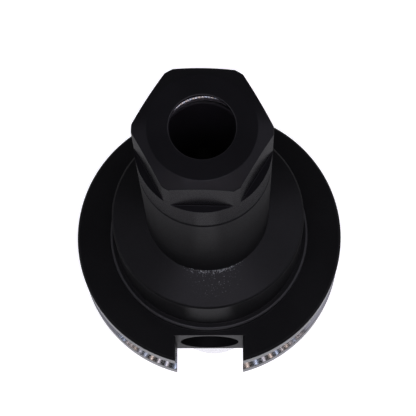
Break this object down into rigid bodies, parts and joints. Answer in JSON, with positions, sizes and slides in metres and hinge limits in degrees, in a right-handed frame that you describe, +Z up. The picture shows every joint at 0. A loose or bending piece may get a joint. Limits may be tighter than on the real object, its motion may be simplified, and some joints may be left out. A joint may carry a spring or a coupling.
{
  "type": "collet chuck holder",
  "caption": "Steep-taper spindle tool holder with a gripper flange, stepped neck and hexagonal nut that clamps a spring collet.",
  "frame": {"origin": "centre of the gauge plane, where the 7:24 taper is 44.45 mm across, on the axis", "axes": "+Z up the axis from the taper to the nut; -Y through the shallower drive slot"},
  "size_m": [0.0636, 0.0614, 0.1684],
  "materials": {
    "holder_steel": "black oxide, satin; taper, flange back and gripper groove ground bright",
    "nut_steel": "black oxide, satin"
  },
  "bodies": {
    "holder": {"holder_body": "holder_steel"},
    "nut": {"clamping_nut": "nut_steel"}
  },
  "joints": [
    {"name": "nut_turn", "type": "hinge", "parent": "holder", "child": "nut", "pos_m": [0, 0, 0.085], "axis": [0, 0, 1], "range_deg": [-120, 2880]}
  ]
}
